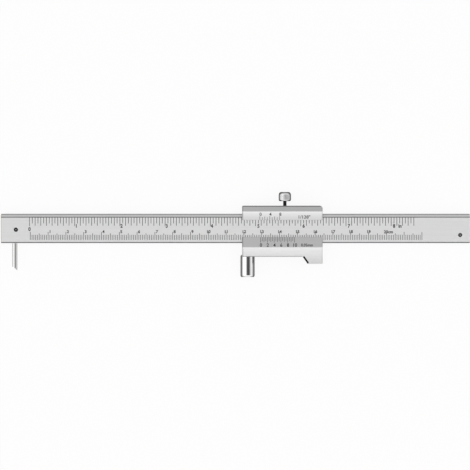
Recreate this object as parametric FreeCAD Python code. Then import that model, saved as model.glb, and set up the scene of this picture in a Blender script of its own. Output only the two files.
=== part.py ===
import FreeCAD, Part
import math
import os

os.makedirs("parts", exist_ok=True)
Vector = FreeCAD.Vector

# Marking caliper lying on its back, in millimetres.
# Building frame: X runs along the beam from the zero of the millimetre scale,
# Y runs up across the beam from its lower edge, Z runs from the slider's back to the reader.
# At the end everything is moved so that the origin is under the middle of the whole tool.

# Fits
running_clearance = 0.05
thread_clearance = 0.05
end_float = 0.10

# Beam
beam_length = 263.5
beam_width = 16.5
beam_thickness = 4.0
beam_left_margin = 16.5
beam_corner_chamfer = 0.4
beam_back_chamfer = 0.3
beam_foot_chamfer_height = 0.7
beam_foot_chamfer_depth = 0.5
scale_border_y = 14.45
scale_border_width = 0.35
scale_border_depth = 0.2
beam_bevel_depth = 0.45
beam_top_edge_height = 0.45
beam_top_edge_depth = 0.5

# Engraved lines
line_width = 0.14
line_depth = 0.06
inch = 25.4
millimetre_divisions = 220
millimetre_line_foot = 1.85
millimetre_line_length = 2.85
five_millimetre_line_length = 3.65
centimetre_line_length = 4.45
inch_zero_x = -0.45
inch_divisions = 136
divisions_per_inch = 16
sixteenth_line_length = 3.3
eighth_line_length = 4.6
inch_line_length = 5.2

# Verniers, which say where the slider stands
reading = 129.4
fine_divisions = 20
fine_step = 0.95
fine_line_length = 2.1
fine_second_line_length = 2.6
fine_labelled_line_length = 3.0
inch_vernier_divisions = 8
inch_vernier_step = inch * 7 / 16 / inch_vernier_divisions
inch_vernier_line_length = 1.55
inch_vernier_second_line_length = 2.0
inch_vernier_labelled_line_length = 2.25

# Slider
slider_length = 45.2
slider_lead = 10.4
slider_back_wall = 2.45
lip_thickness = 2.45
lip_edge_thickness = 0.35
lower_bar_height = 7.55
lower_lip_edge_y = 3.37
lower_lip_bevel_foot_y = -2.4
upper_lip_edge_y = 13.0
upper_lip_ridge_y = 17.8
top_wall_height = 3.57
top_chamfer_depth = 2.0
slider_back_chamfer = 0.4
slider_side_chamfer = 0.35
slider_top_corner_radius = 1.7
slider_small_corner = 0.4
channel_relief_radius = 0.35

# Thumb rest
thumb_rest_width = 8.4
thumb_rest_drop = 4.0
thumb_slope_run = 2.8
thumb_slope_lean = 0.75
thumb_corner_radius = 0.6
serration_count = 5
serration_width = 0.75
serration_depth = 0.4

# Gib spring and its two screws
gib_gap = 1.0
gib_thickness = 0.4
gib_width = 3.6
gib_length = 42.0
gib_screw_spacing = 26.0
gib_screw_recess = 0.5
dog_point_radius = 0.5
dog_point_length = 0.3
small_thread_radius = 1.0

# Lock screw
lock_offset = 24.0
lock_pitch = 0.4
lock_pad_height = 0.8
lock_pad_free_gap = 0.12
lock_pad_gap_to_stud = 0.02
lock_stud_free_length = 2.58
lock_stud_grip = 3.0
knob_radius = 3.45
knob_height = 5.11
knob_foot_chamfer = 0.8
knob_top_radius = 1.4
knurl_teeth = 36
knurl_depth = 0.22
knurl_shoulder = 0.05

# Scribing needle and its clamp screw
needle_x = -8.65
needle_radius = 1.3
needle_seat_depth = 11.0
needle_seat_spare = 1.0
needle_reach = 15.3
needle_slant = 2.15
needle_side_slant = 1.5
needle_flat_height = 0.8
needle_flat_length = 8.0
clamp_screw_offset = 0.55
clamp_screw_y = 7.6
face_screw_radius = 1.15
face_screw_recess = 0.15
socket_size = 1.3
socket_depth = 0.6

# End stop screw
stop_screw_margin = 5.5
stop_screw_y = 4.6
stop_screw_stand = 1.2

# Guide roller and its axle
roller_radius = 4.0
roller_reach = 19.0
roller_seat_depth = 1.2
roller_seat_clearance = 0.1
roller_chamfer = 0.8
axle_radius = 2.0
axle_head_radius = 3.0
axle_head_thickness = 1.2
axle_head_recess = 0.4
axle_thread_radius = 1.5
axle_thread_length = 4.8
axle_slot_width = 0.8
axle_slot_depth = 0.6

# Levels through the thickness
beam_back_z = slider_back_wall + running_clearance
beam_front_z = beam_back_z + beam_thickness
mid_z = beam_back_z + beam_thickness / 2
channel_front_z = beam_front_z + running_clearance
lip_edge_z = channel_front_z + lip_edge_thickness
slider_thickness = channel_front_z + lip_thickness

# Levels across the width
channel_foot_y = -running_clearance
channel_top_y = beam_width + gib_gap
slider_top_y = channel_top_y + top_wall_height
slider_bottom_y = channel_foot_y - lower_bar_height
thumb_bottom_y = slider_bottom_y - thumb_rest_drop
roller_top_y = slider_bottom_y + roller_seat_depth
roller_seat_y = roller_top_y + end_float
roller_bottom_y = -roller_reach
knob_bottom_y = slider_top_y + lock_stud_free_length
knob_top_y = knob_bottom_y + knob_height

# Places along the beam
beam_left_x = -beam_left_margin
beam_right_x = beam_left_x + beam_length
slider_left_x = reading - slider_lead
slider_right_x = slider_left_x + slider_length
slider_mid_x = slider_left_x + slider_length / 2
needle_tip_x = needle_x + needle_radius
roller_x = needle_tip_x + reading
lock_x = slider_left_x + lock_offset
stop_screw_x = beam_right_x - stop_screw_margin

# The spare length of a cutter beyond the surface that it enters
cutter_spare = 1.0


def prism_along_x(corners_yz, x_start, length):
    """Solid with a straight-sided section in the YZ plane, drawn out along X."""
    corners = [Vector(x_start, y, z) for y, z in corners_yz]
    return Part.Face(Part.makePolygon(corners + corners[:1])).extrude(Vector(length, 0, 0))


def prism_along_y(corners_xz, y_start, length):
    """Solid with a straight-sided section in the XZ plane, drawn out along Y."""
    corners = [Vector(x, y_start, z) for x, z in corners_xz]
    return Part.Face(Part.makePolygon(corners + corners[:1])).extrude(Vector(0, length, 0))


def prism_along_z(corners_xy, z_start, height):
    """Solid with a straight-sided section in the XY plane, drawn out along Z."""
    corners = [Vector(x, y, z_start) for x, y in corners_xy]
    return Part.Face(Part.makePolygon(corners + corners[:1])).extrude(Vector(0, 0, height))


def turned_about_y(profile, x, z):
    """Turned solid about the line through (x, z) along Y, from corners of radius and Y."""
    corners = [Vector(x + radius, y, z) for radius, y in profile]
    face = Part.Face(Part.makePolygon(corners + corners[:1]))
    return face.revolve(Vector(x, 0, z), Vector(0, 1, 0), 360)


def round_along_y(radius, y_start, y_end, x, z):
    """Plain cylinder along Y."""
    return Part.makeCylinder(radius, y_end - y_start, Vector(x, y_start, z), Vector(0, 1, 0))


def round_along_z(radius, z_start, z_end, x, y):
    """Plain cylinder along Z."""
    return Part.makeCylinder(radius, z_end - z_start, Vector(x, y, z_start), Vector(0, 0, 1))


def hex_socket(x, y, mouth_z):
    """Cutter for the six-sided socket in the front end of a screw along Z."""
    corner_radius = socket_size / math.sqrt(3)
    corners = []
    for side in range(6):
        angle = math.radians(60 * side)
        corners.append((x + corner_radius * math.cos(angle), y + corner_radius * math.sin(angle)))
    return prism_along_z(corners, mouth_z - socket_depth, socket_depth + cutter_spare)


def screwdriver_slot(x, y_floor, y_mouth, z, length):
    """Cutter for a straight slot across the end of a screw along Y, its length along Z."""
    low_y = min(y_floor, y_mouth)
    corner = Vector(x - axle_slot_width / 2, low_y, z - length / 2)
    return Part.makeBox(axle_slot_width, abs(y_mouth - y_floor), length, corner)


def engraved_line(x, y_low, y_high, surface_z):
    """Cutter for one graduation on a face whose height over Y is surface_z(y)."""
    corners = [
        (y_low, surface_z(y_low) - line_depth),
        (y_high, surface_z(y_high) - line_depth),
        (y_high, surface_z(y_high) + cutter_spare),
        (y_low, surface_z(y_low) + cutter_spare),
    ]
    return prism_along_x(corners, x - line_width / 2, line_width)


def beam_face_z(y):
    """Height of the beam's graduated face."""
    return beam_front_z


def lower_lip_face_z(y):
    """Height of the bevelled face that carries the fine vernier."""
    share = (lower_lip_edge_y - y) / (lower_lip_edge_y - lower_lip_bevel_foot_y)
    return lip_edge_z + share * (slider_thickness - lip_edge_z)


def upper_lip_face_z(y):
    """Height of the bevelled face that carries the inch vernier."""
    share = (y - upper_lip_edge_y) / (upper_lip_ridge_y - upper_lip_edge_y)
    return lip_edge_z + share * (slider_thickness - lip_edge_z)


def millimetre_lines():
    """Cutters for the millimetre scale along the beam's lower side."""
    cutters = []
    for mark in range(millimetre_divisions + 1):
        length = millimetre_line_length
        if mark % 5 == 0:
            length = five_millimetre_line_length
        if mark % 10 == 0:
            length = centimetre_line_length
        cutters.append(engraved_line(mark, millimetre_line_foot, millimetre_line_foot + length, beam_face_z))
    return cutters


def inch_lines():
    """Cutters for the inch scale, hanging from the border line along the beam's upper side."""
    cutters = []
    top_y = scale_border_y + scale_border_width / 2
    for mark in range(inch_divisions + 1):
        length = sixteenth_line_length
        if mark % 2 == 0:
            length = eighth_line_length
        if mark % divisions_per_inch == 0:
            length = inch_line_length
        x = inch_zero_x + mark * inch / divisions_per_inch
        cutters.append(engraved_line(x, scale_border_y - length, top_y, beam_face_z))
    return cutters


def fine_vernier_lines():
    """Cutters for the millimetre vernier, running down from the lower lip's edge."""
    cutters = []
    for mark in range(fine_divisions + 1):
        length = fine_line_length
        if mark % 2 == 0:
            length = fine_second_line_length
        if mark % 4 == 0:
            length = fine_labelled_line_length
        x = reading + mark * fine_step
        edge_y = lower_lip_edge_y + line_width
        cutters.append(engraved_line(x, lower_lip_edge_y - length, edge_y, lower_lip_face_z))
    return cutters


def inch_vernier_lines():
    """Cutters for the inch vernier, running up from the upper lip's edge."""
    cutters = []
    for mark in range(inch_vernier_divisions + 1):
        length = inch_vernier_line_length
        if mark % 2 == 0:
            length = inch_vernier_second_line_length
        if mark % 4 == 0:
            length = inch_vernier_labelled_line_length
        x = reading + inch_zero_x + mark * inch_vernier_step
        edge_y = upper_lip_edge_y - line_width
        cutters.append(engraved_line(x, edge_y, upper_lip_edge_y + length, upper_lip_face_z))
    return cutters


def make_beam():
    """Graduated beam: drawn section, square ends, bores for the needle and two screws."""
    border_top_y = scale_border_y + scale_border_width
    bevel_end_z = beam_front_z - beam_bevel_depth
    section = [
        (beam_back_chamfer, beam_back_z),
        (beam_width - beam_back_chamfer, beam_back_z),
        (beam_width, beam_back_z + beam_back_chamfer),
        (beam_width, bevel_end_z - beam_top_edge_depth),
        (beam_width - beam_top_edge_height, bevel_end_z),
        (border_top_y, beam_front_z),
        (border_top_y, beam_front_z - scale_border_depth),
        (scale_border_y, beam_front_z - scale_border_depth),
        (scale_border_y, beam_front_z),
        (beam_foot_chamfer_height, beam_front_z),
        (0, beam_front_z - beam_foot_chamfer_depth),
        (0, beam_back_z + beam_back_chamfer),
    ]
    outline = [
        (beam_left_x + beam_corner_chamfer, 0),
        (beam_right_x - beam_corner_chamfer, 0),
        (beam_right_x, beam_corner_chamfer),
        (beam_right_x, beam_width - beam_corner_chamfer),
        (beam_right_x - beam_corner_chamfer, beam_width),
        (beam_left_x + beam_corner_chamfer, beam_width),
        (beam_left_x, beam_width - beam_corner_chamfer),
        (beam_left_x, beam_corner_chamfer),
    ]
    bar = prism_along_x(section, beam_left_x, beam_length)
    bar = bar.common(prism_along_z(outline, beam_back_z, beam_thickness))
    seat_top_y = needle_seat_depth + needle_seat_spare
    needle_bore = round_along_y(needle_radius + running_clearance, -cutter_spare, seat_top_y, needle_x, mid_z)
    screw_bore_radius = face_screw_radius + thread_clearance
    clamp_x = needle_x + clamp_screw_offset
    clamp_floor_z = mid_z + needle_flat_height
    front_z = beam_front_z + cutter_spare
    clamp_bore = round_along_z(screw_bore_radius, clamp_floor_z, front_z, clamp_x, clamp_screw_y)
    stop_bore = round_along_z(screw_bore_radius, beam_back_z - cutter_spare, front_z, stop_screw_x, stop_screw_y)
    cutters = [needle_bore, clamp_bore, stop_bore]
    cutters += millimetre_lines()
    cutters += inch_lines()
    return bar.cut(Part.makeCompound(cutters))


def slider_silhouette():
    """Front outline of the slider with its rounded corner and thumb rest, as a face at Z 0."""
    top_round = slider_top_corner_radius
    low_round = thumb_corner_radius
    slope_foot_x = slider_right_x - thumb_rest_width
    slope_head_x = slope_foot_x - thumb_slope_run
    top_bend = Vector(slider_right_x - top_round, slider_top_y - top_round, 0)
    low_bend = Vector(slider_right_x - low_round, thumb_bottom_y + low_round, 0)
    half = math.sqrt(0.5)
    before_low = Vector(low_bend.x, thumb_bottom_y, 0)
    after_low = Vector(slider_right_x, low_bend.y, 0)
    before_top = Vector(slider_right_x, top_bend.y, 0)
    after_top = Vector(top_bend.x, slider_top_y, 0)
    left_corners = [
        after_top,
        Vector(slider_left_x + slider_small_corner, slider_top_y, 0),
        Vector(slider_left_x, slider_top_y - slider_small_corner, 0),
        Vector(slider_left_x, slider_bottom_y, 0),
        Vector(slope_head_x, slider_bottom_y, 0),
        Vector(slope_foot_x, thumb_bottom_y, 0),
        before_low,
    ]
    edges = []
    for start, end in zip(left_corners, left_corners[1:]):
        edges.append(Part.LineSegment(start, end).toShape())
    low_mid = low_bend + Vector(low_round * half, -low_round * half, 0)
    edges.append(Part.Arc(before_low, low_mid, after_low).toShape())
    edges.append(Part.LineSegment(after_low, before_top).toShape())
    top_mid = top_bend + Vector(top_round * half, top_round * half, 0)
    edges.append(Part.Arc(before_top, top_mid, after_top).toShape())
    return Part.Face(Part.Wire(edges))


def slider_section():
    """Corners of the slider's C-shaped section, open to the front between its two lips."""
    return [
        (thumb_bottom_y, 0),
        (slider_top_y - slider_back_chamfer, 0),
        (slider_top_y, slider_back_chamfer),
        (slider_top_y, slider_thickness - top_chamfer_depth),
        (upper_lip_ridge_y, slider_thickness),
        (upper_lip_edge_y, lip_edge_z),
        (upper_lip_edge_y, channel_front_z),
        (channel_top_y, channel_front_z),
        (channel_top_y, slider_back_wall),
        (channel_foot_y, slider_back_wall),
        (channel_foot_y, channel_front_z),
        (lower_lip_edge_y, channel_front_z),
        (lower_lip_edge_y, lip_edge_z),
        (lower_lip_bevel_foot_y, slider_thickness),
        (thumb_bottom_y, slider_thickness),
    ]


def slider_plan():
    """Corners of the slider seen along the beam's width, with its front side edges broken."""
    edge = slider_side_chamfer
    return [
        (slider_left_x, 0),
        (slider_right_x, 0),
        (slider_right_x, slider_thickness - edge),
        (slider_right_x - edge, slider_thickness),
        (slider_left_x + edge, slider_thickness),
        (slider_left_x, slider_thickness - edge),
    ]


def thumb_rest_cutters():
    """Cutters for the leaning face of the thumb rest and the serrations across it."""
    head = Vector(slider_right_x - thumb_rest_width - thumb_slope_run, slider_bottom_y, 0)
    foot = Vector(slider_right_x - thumb_rest_width, thumb_bottom_y, 0)
    along = foot - head
    length = along.Length
    along.normalize()
    inward = Vector(-along.y, along.x, 0)
    outside = head - along * cutter_spare - inward * cutter_spare
    top = Vector(0, 0, slider_thickness)
    lean_corners = [
        head - along * cutter_spare,
        head - along * cutter_spare + inward * thumb_slope_lean + top,
        outside + top,
        outside,
    ]
    lean_face = Part.Face(Part.makePolygon(lean_corners + lean_corners[:1]))
    lean = lean_face.extrude(along * (length + 2 * cutter_spare))
    below_bar = Part.makeBox(
        thumb_rest_width + thumb_slope_run,
        thumb_rest_drop + cutter_spare,
        slider_thickness,
        Vector(head.x, thumb_bottom_y - cutter_spare, 0),
    )
    cutters = [lean.common(below_bar)]
    pitch = length / serration_count
    for tooth in range(serration_count):
        middle = head + along * (pitch * (tooth + 0.5))
        corners = [
            middle - along * serration_width / 2 - inward * cutter_spare,
            middle - along * serration_width / 2,
            middle + inward * (thumb_slope_lean + serration_depth),
            middle + along * serration_width / 2,
            middle + along * serration_width / 2 - inward * cutter_spare,
        ]
        face = Part.Face(Part.makePolygon(corners + corners[:1]))
        cutters.append(face.extrude(Vector(0, 0, slider_thickness)))
    return cutters


def make_slider():
    """One-piece slider: C section round the beam, two vernier lips, thumb rest, roller seat."""
    silhouette = slider_silhouette().extrude(Vector(0, 0, slider_thickness))
    section = prism_along_x(slider_section(), slider_left_x, slider_length)
    plan = prism_along_y(slider_plan(), thumb_bottom_y, slider_top_y - thumb_bottom_y)
    body = silhouette.common(section).common(plan)
    cutters = []
    for relief_z in (slider_back_wall, channel_front_z):
        relief = Part.makeCylinder(
            channel_relief_radius,
            slider_length,
            Vector(slider_left_x, channel_foot_y, relief_z),
            Vector(1, 0, 0),
        )
        cutters.append(relief)
    seat_radius = roller_radius + roller_seat_clearance
    cutters.append(round_along_y(seat_radius, slider_bottom_y - cutter_spare, roller_seat_y, roller_x, mid_z))
    thread_top_y = roller_seat_y + axle_thread_length + end_float
    thread_radius = axle_thread_radius + thread_clearance
    cutters.append(round_along_y(thread_radius, slider_bottom_y, thread_top_y, roller_x, mid_z))
    for screw_x in gib_screw_places() + [lock_x]:
        bore_radius = small_thread_radius + thread_clearance
        top_y = slider_top_y + cutter_spare
        cutters.append(round_along_y(bore_radius, channel_top_y - cutter_spare, top_y, screw_x, mid_z))
    cutters += thumb_rest_cutters()
    cutters += fine_vernier_lines()
    cutters += inch_vernier_lines()
    for cutter in cutters:
        body = body.cut(cutter)
    return body


def gib_screw_places():
    """Places along the beam of the two screws that press the gib spring."""
    return [slider_mid_x - gib_screw_spacing / 2, slider_mid_x + gib_screw_spacing / 2]


def gib_bow_radius():
    """Radius of the gib spring's bow, which fills the gap between beam and slider."""
    rise = gib_gap - gib_thickness - 2 * running_clearance
    half = gib_length / 2
    return (half * half + rise * rise) / (2 * rise)


def gib_foot_y(x):
    """Height of the gib spring's lower face at a place along the beam."""
    away = x - slider_mid_x
    radius = gib_bow_radius()
    return beam_width + running_clearance + radius - math.sqrt(radius * radius - away * away)


def gib_top_y(x):
    """Height of the gib spring's upper face at a place along the beam."""
    return gib_foot_y(x) + gib_thickness


def make_gib_spring():
    """Bowed bronze strip on the beam's upper edge, with a hole for each screw's point."""
    left_x = slider_mid_x - gib_length / 2
    right_x = slider_mid_x + gib_length / 2
    back_z = mid_z - gib_width / 2
    foot = [Vector(x, gib_foot_y(x), back_z) for x in (left_x, slider_mid_x, right_x)]
    top = [Vector(x, gib_top_y(x), back_z) for x in (right_x, slider_mid_x, left_x)]
    edges = [
        Part.Arc(foot[0], foot[1], foot[2]).toShape(),
        Part.LineSegment(foot[2], top[0]).toShape(),
        Part.Arc(top[0], top[1], top[2]).toShape(),
        Part.LineSegment(top[2], foot[0]).toShape(),
    ]
    strip = Part.Face(Part.Wire(edges)).extrude(Vector(0, 0, gib_width))
    for screw_x in gib_screw_places():
        hole_radius = dog_point_radius + running_clearance
        strip = strip.cut(round_along_y(hole_radius, beam_width, channel_top_y, screw_x, mid_z))
    return strip


def make_gib_screw(screw_x):
    """Set screw in the slider's top wall, whose point stands in the gib spring's hole."""
    shoulder_y = gib_top_y(screw_x) + running_clearance
    top_y = slider_top_y - gib_screw_recess
    shank = round_along_y(small_thread_radius, shoulder_y, top_y, screw_x, mid_z)
    point = round_along_y(dog_point_radius, shoulder_y - dog_point_length, shoulder_y, screw_x, mid_z)
    slot = screwdriver_slot(screw_x, top_y - axle_slot_depth, top_y, mid_z, 3 * small_thread_radius)
    return shank.fuse(point).cut(slot)


def make_lock_pad():
    """Small brass pad between the lock screw's tip and the gib spring."""
    pad_radius = small_thread_radius - running_clearance
    foot_y = gib_top_y(lock_x) + lock_pad_free_gap
    return round_along_y(pad_radius, foot_y, foot_y + lock_pad_height, lock_x, mid_z)


def make_lock_stud():
    """Black threaded stud of the lock screw, from the pad up into the knob."""
    tip_y = gib_top_y(lock_x) + lock_pad_free_gap + lock_pad_height + lock_pad_gap_to_stud
    chamfer = lock_pitch / 2
    top_y = knob_bottom_y + lock_stud_grip
    profile = [
        (0, tip_y),
        (small_thread_radius - chamfer, tip_y),
        (small_thread_radius, tip_y + chamfer),
        (small_thread_radius, top_y - chamfer),
        (small_thread_radius - chamfer, top_y),
        (0, top_y),
    ]
    return turned_about_y(profile, lock_x, mid_z)


def make_lock_knob():
    """Knob of the lock screw: chamfered foot, straight-knurled band and rounded crown."""
    plain_radius = knob_radius - knurl_depth - knurl_shoulder
    band_foot_y = knob_bottom_y + knob_foot_chamfer
    band_top_y = knob_top_y - knob_top_radius
    half = math.sqrt(0.5)
    bend_x = lock_x + plain_radius - knob_top_radius
    arc_mid = Vector(bend_x + knob_top_radius * half, band_top_y + knob_top_radius * half, mid_z)
    crown_side = Vector(lock_x + plain_radius, band_top_y, mid_z)
    crown_edge = Vector(bend_x, knob_top_y, mid_z)
    axis_top = Vector(lock_x, knob_top_y, mid_z)
    axis_foot = Vector(lock_x, band_top_y, mid_z)
    crown_edges = [
        Part.LineSegment(axis_foot, crown_side).toShape(),
        Part.Arc(crown_side, arc_mid, crown_edge).toShape(),
        Part.LineSegment(crown_edge, axis_top).toShape(),
        Part.LineSegment(axis_top, axis_foot).toShape(),
    ]
    crown = Part.Face(Part.Wire(crown_edges)).revolve(axis_foot, Vector(0, 1, 0), 360)
    foot_profile = [
        (0, knob_bottom_y),
        (plain_radius - knob_foot_chamfer, knob_bottom_y),
        (plain_radius, band_foot_y),
        (0, band_foot_y),
    ]
    foot = turned_about_y(foot_profile, lock_x, mid_z)
    band = prism_along_y(knurl_outline(), band_foot_y, band_top_y - band_foot_y)
    bore_radius = small_thread_radius + thread_clearance
    bore_top_y = knob_bottom_y + lock_stud_grip + end_float
    bore = round_along_y(bore_radius, knob_bottom_y - cutter_spare, bore_top_y, lock_x, mid_z)
    return band.fuse(foot).fuse(crown).cut(bore)


def knurl_outline():
    """Corners of the knurled band seen along the lock screw, ridge and valley in turn."""
    corners = []
    for half_tooth in range(2 * knurl_teeth):
        radius = knob_radius - knurl_depth * (half_tooth % 2)
        angle = half_tooth * math.pi / knurl_teeth
        corners.append((lock_x + radius * math.cos(angle), mid_z + radius * math.sin(angle)))
    return corners


def make_scriber_needle():
    """Round scribing needle with a flat for its clamp screw and a point at its right side."""
    tip_y = -needle_reach
    rod = round_along_y(needle_radius, tip_y, needle_seat_depth, needle_x, mid_z)
    flat_foot_y = needle_seat_depth - needle_flat_length
    flat = Part.makeBox(
        4 * needle_radius,
        needle_flat_length + cutter_spare,
        needle_radius,
        Vector(needle_x - 2 * needle_radius, flat_foot_y, mid_z + needle_flat_height),
    )
    slope = needle_slant / (2 * needle_radius)
    far = 2 * needle_radius
    low_y = tip_y - slope * far - cutter_spare
    slant = [
        (needle_tip_x + far, tip_y - slope * far),
        (needle_tip_x - 2 * far, tip_y + slope * 2 * far),
        (needle_tip_x - 2 * far, low_y),
        (needle_tip_x + far, low_y),
    ]
    cutters = [flat, prism_along_z(slant, mid_z - far, 2 * far)]
    side_slope = needle_side_slant / needle_radius
    for side in (-1, 1):
        wedge = [
            (tip_y, mid_z),
            (tip_y + side_slope * far, mid_z + side * far),
            (low_y, mid_z + side * far),
            (low_y, mid_z),
        ]
        cutters.append(prism_along_x(wedge, needle_x - far, 2 * far))
    for cutter in cutters:
        rod = rod.cut(cutter)
    return rod


def make_face_screw(x, y, foot_z):
    """Set screw let into the beam's face, with a six-sided socket."""
    top_z = beam_front_z - face_screw_recess
    shank = round_along_z(face_screw_radius, foot_z, top_z, x, y)
    return shank.cut(hex_socket(x, y, top_z))


def make_guide_roller():
    """Polished guide roller: a sleeve with broken ends and a counterbore for the axle's head."""
    profile = [
        (axle_radius + running_clearance, roller_top_y),
        (roller_radius - roller_chamfer, roller_top_y),
        (roller_radius, roller_top_y - roller_chamfer),
        (roller_radius, roller_bottom_y + roller_chamfer),
        (roller_radius - roller_chamfer / 2, roller_bottom_y),
        (axle_head_radius + running_clearance, roller_bottom_y),
        (axle_head_radius + running_clearance, axle_head_top_y() + end_float),
        (axle_radius + running_clearance, axle_head_top_y() + end_float),
    ]
    return turned_about_y(profile, roller_x, mid_z)


def axle_head_top_y():
    """Height of the axle head's inner face."""
    return roller_bottom_y + axle_head_recess + axle_head_thickness


def make_roller_axle():
    """Shoulder screw that carries the roller: slotted head, ground shoulder, short thread."""
    head_foot_y = roller_bottom_y + axle_head_recess
    profile = [
        (0, head_foot_y),
        (axle_head_radius, head_foot_y),
        (axle_head_radius, axle_head_top_y()),
        (axle_radius, axle_head_top_y()),
        (axle_radius, roller_seat_y),
        (axle_thread_radius, roller_seat_y),
        (axle_thread_radius, roller_seat_y + axle_thread_length),
        (0, roller_seat_y + axle_thread_length),
    ]
    screw = turned_about_y(profile, roller_x, mid_z)
    slot_floor_y = head_foot_y + axle_slot_depth
    slot = screwdriver_slot(roller_x, slot_floor_y, head_foot_y - cutter_spare, mid_z, 3 * axle_head_radius)
    return screw.cut(slot)


clamp_screw_x = needle_x + clamp_screw_offset
clamp_screw_foot_z = mid_z + needle_flat_height + running_clearance
stop_screw_foot_z = beam_back_z - stop_screw_stand
left_gib_screw_x, right_gib_screw_x = gib_screw_places()

pieces = {
    "beam": make_beam(),
    "scriber_needle": make_scriber_needle(),
    "needle_clamp_screw": make_face_screw(clamp_screw_x, clamp_screw_y, clamp_screw_foot_z),
    "end_stop_screw": make_face_screw(stop_screw_x, stop_screw_y, stop_screw_foot_z),
    "slider": make_slider(),
    "gib_spring": make_gib_spring(),
    "gib_screw_left": make_gib_screw(left_gib_screw_x),
    "gib_screw_right": make_gib_screw(right_gib_screw_x),
    "lock_pad": make_lock_pad(),
    "lock_stud": make_lock_stud(),
    "lock_knob": make_lock_knob(),
    "guide_roller": make_guide_roller(),
    "roller_axle": make_roller_axle(),
}

# The origin lies under the middle of the tool's box, on the face that it rests on.
middle_x = (beam_left_x + beam_right_x) / 2
middle_y = (roller_bottom_y + knob_top_y) / 2
for name, shape in pieces.items():
    placed = shape.translated(Vector(-middle_x, -middle_y, 0))
    if len(placed.Solids) == 1:
        placed = placed.Solids[0]
    placed.exportStep("parts/" + name + ".step")
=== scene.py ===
"""Marking caliper of satin stainless steel: the looks of its beam, needle, vernier slider, lock screw and roller."""

import logging
import math
from dataclasses import dataclass, replace
from enum import Enum
from typing import Any, Iterable, Mapping, Sequence

import bmesh
import bpy
from mathutils import Matrix, Vector


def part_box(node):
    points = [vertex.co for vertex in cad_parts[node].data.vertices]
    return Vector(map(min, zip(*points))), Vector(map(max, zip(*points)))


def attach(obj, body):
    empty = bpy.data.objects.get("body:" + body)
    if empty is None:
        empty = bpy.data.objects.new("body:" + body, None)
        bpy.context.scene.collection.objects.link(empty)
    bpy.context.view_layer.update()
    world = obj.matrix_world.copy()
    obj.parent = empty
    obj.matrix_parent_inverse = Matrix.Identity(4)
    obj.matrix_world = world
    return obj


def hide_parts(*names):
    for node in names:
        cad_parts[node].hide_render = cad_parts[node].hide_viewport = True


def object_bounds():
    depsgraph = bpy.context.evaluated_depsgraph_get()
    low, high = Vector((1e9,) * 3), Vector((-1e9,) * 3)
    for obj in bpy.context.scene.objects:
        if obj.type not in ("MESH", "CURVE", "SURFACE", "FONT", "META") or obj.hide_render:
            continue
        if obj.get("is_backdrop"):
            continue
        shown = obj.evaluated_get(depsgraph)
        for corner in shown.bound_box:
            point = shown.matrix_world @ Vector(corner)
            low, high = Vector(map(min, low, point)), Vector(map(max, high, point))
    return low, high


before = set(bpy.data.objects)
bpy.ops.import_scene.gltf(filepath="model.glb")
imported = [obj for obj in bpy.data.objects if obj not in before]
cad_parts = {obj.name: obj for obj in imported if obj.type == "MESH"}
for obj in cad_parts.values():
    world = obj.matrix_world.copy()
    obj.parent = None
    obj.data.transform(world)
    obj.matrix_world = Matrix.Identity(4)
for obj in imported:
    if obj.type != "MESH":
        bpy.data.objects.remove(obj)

log = logging.getLogger("marking_caliper")

MM = 0.001
"""One millimetre, in Blender's metres."""

INCH = 25.4
"""One inch, in mm."""

WELD = 1e-7
"""Vertices that are closer than this, in metres, become one."""

LEFT_OF_ZERO = 16.5
"""How far the beam reaches to the left of the millimetre scale's zero, in mm."""

BEAM_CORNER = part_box("beam")[0]
RULE_ZERO = Vector((BEAM_CORNER.x / MM + LEFT_OF_ZERO, BEAM_CORNER.y / MM, 0.0))
"""Where the millimetre scale's zero meets the beam's lower edge, in mm: all places below count from here."""

ALONG_Y = (-math.pi / 2, 0.0, 0.0)
"""The turn that lays a shape's Z axis along Y."""

REST_TOP, REST_FOOT = (153.0, -7.6), (155.8, -11.6)
"""Upper and lower end of the thumb rest's serrated face where it meets the floor, in mm from the rule's zero."""


@dataclass(frozen=True)
class Signal:
    """A value that flows out of one node's socket, with the sums of numbers written as operators.

    Attributes:
        desk: the desk that its sums are laid out on.
        socket: the output socket.
    """

    desk: "Desk"
    socket: bpy.types.NodeSocket

    def other(self, output: str) -> "Signal":
        """Gives another output of the same node."""
        return Signal(self.desk, self.socket.node.outputs[output])

    def __add__(self, right: "Signal | float") -> "Signal":
        """Adds."""
        return self.desk.sum("ADD", self, right)

    def __radd__(self, left: float) -> "Signal":
        """Adds to a number."""
        return self.desk.sum("ADD", left, self)

    def __sub__(self, right: "Signal | float") -> "Signal":
        """Subtracts."""
        return self.desk.sum("SUBTRACT", self, right)

    def __rsub__(self, left: float) -> "Signal":
        """Subtracts from a number."""
        return self.desk.sum("SUBTRACT", left, self)

    def __mul__(self, right: "Signal | float") -> "Signal":
        """Multiplies."""
        return self.desk.sum("MULTIPLY", self, right)

    def __rmul__(self, left: float) -> "Signal":
        """Multiplies a number."""
        return self.desk.sum("MULTIPLY", left, self)

    def __truediv__(self, right: "Signal | float") -> "Signal":
        """Divides."""
        return self.desk.sum("DIVIDE", self, right)

    def __abs__(self) -> "Signal":
        """Takes the size without its sign."""
        return self.desk.sum("ABSOLUTE", self)


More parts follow.
